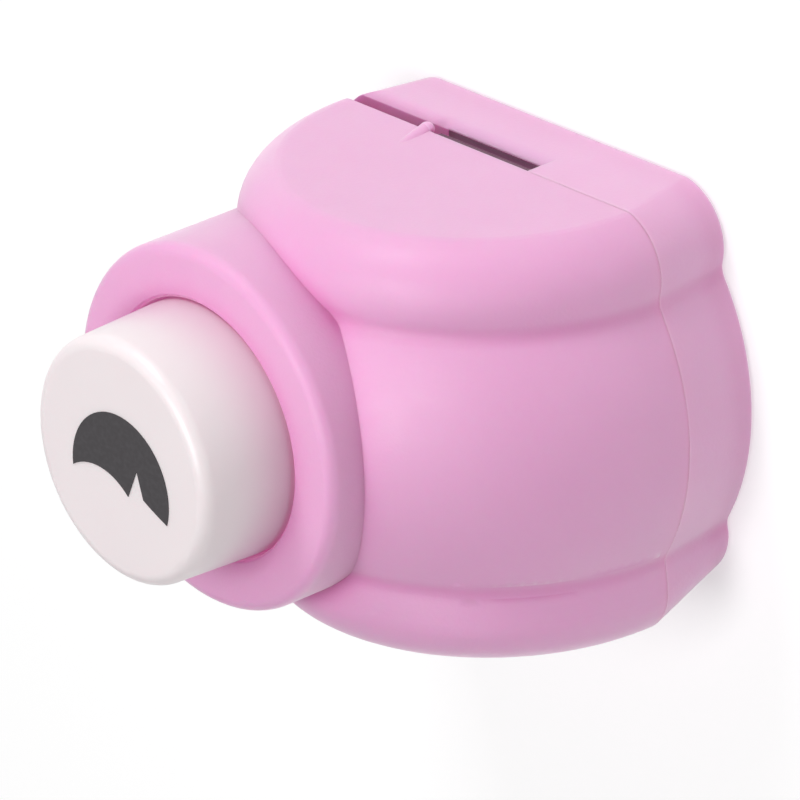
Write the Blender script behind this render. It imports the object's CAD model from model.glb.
import math

import bpy
from mathutils import Matrix, Vector


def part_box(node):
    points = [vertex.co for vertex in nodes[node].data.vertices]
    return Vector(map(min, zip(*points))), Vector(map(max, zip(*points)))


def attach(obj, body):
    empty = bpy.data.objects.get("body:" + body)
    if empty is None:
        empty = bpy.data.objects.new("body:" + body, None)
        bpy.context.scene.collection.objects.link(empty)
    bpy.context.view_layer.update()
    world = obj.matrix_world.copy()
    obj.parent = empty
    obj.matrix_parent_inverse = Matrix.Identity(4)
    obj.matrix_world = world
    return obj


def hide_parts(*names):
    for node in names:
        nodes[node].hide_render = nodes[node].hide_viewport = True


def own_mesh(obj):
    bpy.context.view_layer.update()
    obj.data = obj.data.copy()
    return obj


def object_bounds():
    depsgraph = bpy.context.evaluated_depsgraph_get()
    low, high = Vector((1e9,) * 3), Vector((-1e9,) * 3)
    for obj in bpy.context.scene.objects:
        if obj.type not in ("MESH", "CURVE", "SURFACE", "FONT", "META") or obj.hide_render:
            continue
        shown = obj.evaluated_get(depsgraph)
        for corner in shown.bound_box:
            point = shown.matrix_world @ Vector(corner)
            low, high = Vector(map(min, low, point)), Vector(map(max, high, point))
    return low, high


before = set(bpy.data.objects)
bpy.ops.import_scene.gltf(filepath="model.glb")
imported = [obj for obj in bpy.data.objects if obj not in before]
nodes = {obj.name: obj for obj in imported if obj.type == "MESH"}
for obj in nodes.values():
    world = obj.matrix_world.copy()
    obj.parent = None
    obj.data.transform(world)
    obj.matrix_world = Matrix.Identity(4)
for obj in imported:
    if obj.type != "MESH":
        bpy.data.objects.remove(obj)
cad_low, cad_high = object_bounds()
MM = 0.001

# places that the looks hang on, read from the frame
SEAM_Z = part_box("base_shell")[1].z
COLLAR_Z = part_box("upper_shell")[1].z
FLOOR_Z = cad_low.z
CENTRE = (cad_low + cad_high) / 2

# crevices deepen over this reach, but not beside the floor
CREVICE_REACH = 3.0 * MM
PLATE_CREVICE_REACH = 2.0 * MM
FOOT_HEIGHT = 2.5 * MM

# the two valleys round the barrel, between the bands and the waist
VALLEY_Y = 8.55 * MM
VALLEY_RADIUS = 15.5 * MM
VALLEY_REACH = 0.9 * MM
VALLEY_FADE = 0.5 * MM
VALLEY_DEPTH = 0.30

# the parting line: how far it reaches above and below the seam, and how strongly
SEAM_SHADE_REACH = 0.22 * MM
SEAM_PALE_REACH = 0.26 * MM
SEAM_SHADE = 0.14
SEAM_PALE = 0.50
BASE_PALENESS = 0.12

# moulded edges look rounded by this much, and the pink's cast on the button fades over this height
EDGE_ROUND = 0.12 * MM
CAST_HEIGHT = 5.5 * MM

# colours, linear RGB
PINK = (0.78, 0.395, 0.64)
PINK_SHADE = (0.76, 0.36, 0.61)
PINK_DEEP = (0.66, 0.16, 0.43)
PINK_PALE = (0.86, 0.56, 0.76)
WHITE = (0.86, 0.785, 0.80)
WHITE_SHADE = (0.82, 0.73, 0.755)
WHITE_CAST = (0.80, 0.59, 0.68)
INK = (0.056, 0.051, 0.055)
INK_WORN = (0.074, 0.069, 0.075)
PLATE = (0.40, 0.34, 0.37)
PLATE_TARNISH = (0.25, 0.21, 0.23)
PLATE_EDGE = (0.17, 0.075, 0.12)
FLOOR = (0.52, 0.52, 0.52)
FLOOR_SHADE = (0.50, 0.50, 0.505)
PURE_WHITE = (1.0, 1.0, 1.0, 1.0)

# light that comes through the thin plastic, in the deepest places
SHELL_GLOW = 0.34
PLATE_GLOW = 0.24

# studio: metres and watts
FLOOR_SIZE = 6.0
FLOOR_DROP = 0.02 * MM
FLOOR_GLOW = 0.53
FAR_FLOOR_GLOW = 0.95
FAR_FLOOR_START = 0.15
FAR_FLOOR_END = 0.8
SURROUNDINGS = 0.18
LIGHT_DISTANCE = 0.5


# ---------------------------------------------------------------- node helpers

class Graph:
    """A material's node graph, with short calls for the few nodes the finishes use."""

    def __init__(self, name):
        self.material = bpy.data.materials.new(name)
        self.material.use_nodes = True
        self.tree = self.material.node_tree
        self.tree.nodes.clear()
        self.output = self.tree.nodes.new("ShaderNodeOutputMaterial")
        self.place = self.tree.nodes.new("ShaderNodeTexCoord").outputs["Object"]

    def node(self, kind, settings=(), **inputs):
        """A shader node of that kind; an underscore in an input's name stands for a space."""
        made = self.tree.nodes.new("ShaderNode" + kind)
        for key, value in settings:
            setattr(made, key, value)
        for key, value in inputs.items():
            self.feed(made.inputs[key.replace("_", " ")], value)
        return made

    def feed(self, socket, value):
        if isinstance(value, bpy.types.NodeSocket):
            self.tree.links.new(value, socket)
        else:
            socket.default_value = value

    def noise(self, size, detail=2.0, roughness=0.5, stretch=None):
        """Soft noise from 0 to 1 whose grains are about size metres across."""
        place = self.place
        if stretch is not None:
            place = self.node("Mapping", Vector=place, Scale=stretch).outputs["Vector"]
        made = self.node("TexNoise", Vector=place, Scale=1 / size, Detail=detail, Roughness=roughness)
        return made.outputs["Fac"]

    def remap(self, value, low, high, to_low, to_high):
        made = self.node("MapRange", Value=value)
        made.interpolation_type = "SMOOTHSTEP"
        for key, number in (("From Min", low), ("From Max", high), ("To Min", to_low), ("To Max", to_high)):
            made.inputs[key].default_value = number
        return made.outputs["Result"]

    def maths(self, operation, a, b=0.0):
        made = self.node("Math", settings=(("operation", operation),))
        self.feed(made.inputs[0], a)
        self.feed(made.inputs[1], b)
        return made.outputs["Value"]

    def mix(self, factor, a, b):
        made = self.node("Mix", settings=(("data_type", "RGBA"),))
        self.feed(made.inputs["Factor"], factor)
        self.feed(made.inputs["A"], rgba(a))
        self.feed(made.inputs["B"], rgba(b))
        return made.outputs["Result"]

    def bump(self, height, depth, strength=1.0, normal=None):
        made = self.node("Bump", Height=height, Distance=depth, Strength=strength)
        if normal is not None:
            self.feed(made.inputs["Normal"], normal)
        return made.outputs["Normal"]

    def occlusion(self, reach):
        """1 in the open, falling to 0 where surfaces closer than reach shut the light out."""
        return self.node("AmbientOcclusion", settings=(("samples", 6),), Distance=reach).outputs["AO"]

    def rounded_edges(self):
        return self.node("Bevel", settings=(("samples", 4),), Radius=EDGE_ROUND).outputs["Normal"]

    def surface(self, **inputs):
        shader = self.node("BsdfPrincipled", **inputs)
        self.tree.links.new(shader.outputs["BSDF"], self.output.inputs["Surface"])
        return shader


def rgba(colour):
    """A plain colour gets its alpha; a socket passes through."""
    if isinstance(colour, tuple) and len(colour) == 3:
        return (*colour, 1.0)
    return colour


# ---------------------------------------------------------------- finishes

def moulded_pink():
    """Fine-grained, slightly translucent plastic: deeper in the crevices, with a soft sheen."""
    g = Graph("moulded_pink")
    cloud = g.noise(6 * MM, detail=3.0)
    colour = g.mix(g.remap(cloud, 0.3, 0.7, 0.0, 0.25), PINK, PINK_SHADE)
    height = g.node("SeparateXYZ", Vector=g.place).outputs["Z"]
    clear_of_floor = g.remap(height, FLOOR_Z, FLOOR_Z + FOOT_HEIGHT, 0.0, 1.0)
    occluded = g.occlusion(CREVICE_REACH)
    crevice = g.maths("MULTIPLY", clear_of_floor, g.remap(occluded, 0.32, 0.96, 0.95, 0.0))
    glow = g.maths("MULTIPLY", clear_of_floor, g.remap(occluded, 0.0, 0.4, SHELL_GLOW, 0.0))
    colour = valley_shade(g, g.mix(crevice, colour, PINK_DEEP))
    colour = parting_line(g, height, colour)
    grain = g.noise(0.22 * MM, detail=2.0, roughness=0.6)
    g.surface(
        Base_Color=colour,
        Roughness=g.remap(g.noise(3 * MM), 0.3, 0.7, 0.46, 0.54),
        Normal=g.bump(grain, 0.03 * MM, strength=0.5, normal=g.rounded_edges()),
        IOR=1.48,
        Subsurface_Weight=0.5,
        Subsurface_Radius=(1.0, 0.45, 0.75),
        Subsurface_Scale=1.2 * MM,
        Sheen_Weight=0.55,
        Sheen_Roughness=0.45,
        Emission_Color=(*PINK_DEEP, 1.0),
        Emission_Strength=glow,
    )
    return g.material


def valley_shade(g, colour):
    """Deeper pink along the two valleys between bands and waist, but not on the collar across them."""
    x, y, z = g.node("SeparateXYZ", Vector=g.place).outputs
    rise = g.maths("MAXIMUM", g.maths("SUBTRACT", z, SEAM_Z), 0.0)
    radius = g.maths("SQRT", g.maths("ADD", g.maths("MULTIPLY", x, x), g.maths("MULTIPLY", rise, rise)))
    on_barrel = g.remap(radius, VALLEY_RADIUS, VALLEY_RADIUS + VALLEY_FADE, VALLEY_DEPTH, 0.0)
    away = g.maths("ABSOLUTE", g.maths("SUBTRACT", g.maths("ABSOLUTE", y), VALLEY_Y))
    shade = g.maths("MULTIPLY", on_barrel, g.remap(away, 0.0, VALLEY_REACH, 1.0, 0.0))
    return g.mix(shade, colour, PINK_DEEP)


def parting_line(g, height, colour):
    """The joint between the shells: shaded just above, a pale edge just below, the base a touch paler."""
    above = g.maths("SUBTRACT", height, SEAM_Z)
    upper = g.remap(above, -0.02 * MM, 0.0, 0.0, 1.0)
    lower = g.maths("SUBTRACT", 1.0, upper)
    shaded = g.maths("MULTIPLY", upper, g.remap(above, 0.0, SEAM_SHADE_REACH, SEAM_SHADE, 0.0))
    ridge = g.remap(above, -SEAM_PALE_REACH, -0.04 * MM, BASE_PALENESS, SEAM_PALE)
    pale = g.maths("MULTIPLY", lower, ridge)
    return g.mix(pale, g.mix(shaded, colour, PINK_DEEP), PINK_PALE)


def moulded_white():
    """Smooth white plastic with a soft gloss, faint flow marks and a pink cast next to the collar."""
    g = Graph("moulded_white")
    flow = g.noise(7 * MM, detail=1.0, stretch=(1.0, 1.0, 0.3))
    colour = g.mix(g.remap(flow, 0.0, 1.0, 0.0, 0.5), WHITE, WHITE_SHADE)
    height = g.node("SeparateXYZ", Vector=g.place).outputs["Z"]
    cast = g.remap(height, COLLAR_Z, COLLAR_Z + CAST_HEIGHT, 0.75, 0.0)
    colour = g.mix(cast, colour, WHITE_CAST)
    speck = g.noise(0.6 * MM, detail=1.0)
    g.surface(
        Base_Color=colour,
        Roughness=g.remap(g.noise(6 * MM, detail=1.0), 0.0, 1.0, 0.27, 0.37),
        Normal=g.bump(speck, 0.003 * MM, strength=0.2, normal=g.rounded_edges()),
        IOR=1.5,
        Subsurface_Weight=0.35,
        Subsurface_Radius=(1.0, 0.8, 0.85),
        Subsurface_Scale=1.0 * MM,
    )
    return g.material


def printed_ink():
    """A thin dark pad print, matt and a little unevenly inked."""
    g = Graph("printed_ink")
    patch = g.noise(0.35 * MM, detail=4.0, roughness=0.65)
    colour = g.mix(g.remap(patch, 0.4, 0.7, 0.0, 0.5), INK, INK_WORN)
    g.surface(
        Base_Color=colour,
        Roughness=g.remap(patch, 0.3, 0.7, 0.60, 0.75),
        Normal=g.bump(patch, 0.01 * MM, strength=0.3),
    )
    return g.material


def steel(name, colour, low, high, stretch):
    """Brushed or rolled steel: long fine scratches, cloudy tarnish and uneven sheen."""
    g = Graph(name)
    scratch = g.noise(1.5 * MM, detail=5.0, roughness=0.7, stretch=stretch)
    tarnish = g.noise(3.5 * MM, detail=3.0)
    darker = tuple(c * 0.62 for c in colour)
    g.surface(
        Base_Color=g.mix(g.remap(tarnish, 0.35, 0.7, 0.0, 0.6), colour, darker),
        Metallic=1.0,
        Roughness=g.remap(scratch, 0.3, 0.7, low, high),
        Normal=g.bump(scratch, 0.02 * MM, strength=0.25),
    )
    return g.material


def plate_steel():
    """Sheared sheet steel: rolled faces, dull front edges, and pink light from the shells deep inside."""
    g = Graph("sheared_plate_steel")
    scratch = g.noise(1.5 * MM, detail=5.0, roughness=0.7, stretch=(1.0, 18.0, 18.0))
    tarnish = g.noise(3.5 * MM, detail=3.0)
    face = g.mix(g.remap(tarnish, 0.35, 0.7, 0.0, 0.6), PLATE, PLATE_TARNISH)
    toward = g.node("SeparateXYZ", Vector=g.node("NewGeometry").outputs["Normal"]).outputs["Y"]
    sheared = g.remap(toward, -0.8, -0.3, 1.0, 0.0)
    buried = g.occlusion(PLATE_CREVICE_REACH)
    g.surface(
        Base_Color=g.mix(sheared, face, PLATE_EDGE),
        Metallic=0.8,
        Roughness=g.remap(scratch, 0.3, 0.7, 0.38, 0.55),
        Normal=g.bump(scratch, 0.02 * MM, strength=0.25),
        Emission_Color=(*PINK_DEEP, 1.0),
        Emission_Strength=g.remap(buried, 0.0, 0.5, PLATE_GLOW, 0.0),
    )
    return g.material


FINISHES = {
    "pink_plastic": moulded_pink(),
    "white_plastic": moulded_white(),
    "emblem_ink": printed_ink(),
    "tool_steel": steel("ground_tool_steel", (0.60, 0.60, 0.61), 0.16, 0.30, (18.0, 18.0, 1.0)),
    "plate_steel": plate_steel(),
    "rivet_steel": steel("rivet_steel", (0.50, 0.50, 0.50), 0.28, 0.45, (6.0, 6.0, 6.0)),
    "spring_steel": steel("drawn_spring_wire", (0.48, 0.48, 0.50), 0.18, 0.32, (3.0, 3.0, 14.0)),
    "screw_steel": steel("zinc_screw_steel", (0.62, 0.62, 0.60), 0.25, 0.40, (9.0, 9.0, 4.0)),
}


def dress_cad_nodes():
    """Each CAD node takes the finish that the record gives its material slot."""
    for name, node in nodes.items():
        slot_name = node.data.materials[0].name.split(".")[0]
        node.data.materials.clear()
        node.data.materials.append(FINISHES[slot_name])


def working_spring():
    """The return spring as a piece that shortens as the button goes down, with its foot on the seat."""
    spring = bpy.data.objects.new("coil_spring", nodes["return_spring"].data.copy())
    bpy.context.scene.collection.objects.link(spring)
    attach(spring, "housing")
    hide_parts("return_spring")
    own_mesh(spring)


# ---------------------------------------------------------------- studio

def studio_floor():
    """A wide pale floor that brightens to white in the distance, as in a light tent."""
    bpy.ops.mesh.primitive_plane_add(size=FLOOR_SIZE, location=(CENTRE.x, CENTRE.y, FLOOR_Z - FLOOR_DROP))
    floor = bpy.context.active_object
    floor.name = "floor"
    g = Graph("pale_floor")
    cloud = g.noise(0.12)
    tint = g.mix(g.remap(cloud, 0.4, 0.6, 0.0, 0.1), FLOOR, FLOOR_SHADE)
    away = g.node("VectorMath", settings=(("operation", "LENGTH"),), Vector=g.place).outputs["Value"]
    g.surface(
        Base_Color=tint,
        Roughness=0.8,
        Emission_Color=PURE_WHITE,
        Emission_Strength=g.remap(away, FAR_FLOOR_START, FAR_FLOOR_END, FLOOR_GLOW, FAR_FLOOR_GLOW),
    )
    floor.data.materials.append(g.material)


def soft_light(name, direction, size, watts):
    """A square soft box along direction from the object, facing it."""
    data = bpy.data.lights.new(name, "AREA")
    data.shape = "SQUARE"
    data.size = size
    data.energy = watts
    light = bpy.data.objects.new(name, data)
    bpy.context.scene.collection.objects.link(light)
    toward = Vector(direction).normalized()
    light.location = CENTRE + toward * LIGHT_DISTANCE
    light.rotation_mode = "QUATERNION"
    light.rotation_quaternion = toward.to_track_quat("Z", "Y")


def studio_world(strength):
    """Even white surroundings that light the object at the given strength and look white to the camera."""
    world = bpy.data.worlds.new("studio")
    world.use_nodes = True
    tree = world.node_tree
    backdrop = tree.nodes["Background"]
    backdrop.inputs["Color"].default_value = PURE_WHITE
    seen = tree.nodes.new("ShaderNodeLightPath").outputs["Is Camera Ray"]
    level = tree.nodes.new("ShaderNodeMapRange")
    level.inputs["To Min"].default_value = strength
    level.inputs["To Max"].default_value = 1.0
    tree.links.new(seen, level.inputs["Value"])
    tree.links.new(level.outputs["Result"], backdrop.inputs["Strength"])
    bpy.context.scene.world = world


# the camera looks from the left of the slot face, above, and is rolled so that the slot face is up
CAMERA_AZIMUTH = -58.5
CAMERA_ELEVATION = 36.14
CAMERA_ROLL = -112.23
CAMERA_AIM = Vector((0.0, 0.07, 14.18)) * MM
CAMERA_DISTANCE = 491.9 * MM
CAMERA_LENS = 360.0


def camera():
    """The camera at the photo's viewing angle."""
    data = bpy.data.cameras.new("camera")
    data.lens = CAMERA_LENS
    data.sensor_width = 36.0
    data.clip_start = 0.01
    made = bpy.data.objects.new("camera", data)
    bpy.context.scene.collection.objects.link(made)
    azimuth = math.radians(CAMERA_AZIMUTH)
    elevation = math.radians(CAMERA_ELEVATION)
    level = math.cos(elevation)
    back = Vector((math.sin(azimuth) * level, -math.cos(azimuth) * level, math.sin(elevation)))
    made.location = CAMERA_AIM + back * CAMERA_DISTANCE
    made.rotation_mode = "QUATERNION"
    upright = (-back).to_track_quat("-Z", "Y")
    roll = Matrix.Rotation(math.radians(CAMERA_ROLL), 3, "Z").to_quaternion()
    made.rotation_quaternion = upright @ roll
    bpy.context.scene.camera = made


dress_cad_nodes()
working_spring()
studio_floor()
studio_world(SURROUNDINGS)
soft_light("key", (0.15, -0.85, 0.42), size=0.16, watts=1.01)
soft_light("top", (-0.15, -0.12, 1.0), size=0.25, watts=1.80)
camera()
bpy.context.scene.view_settings.view_transform = "Standard"
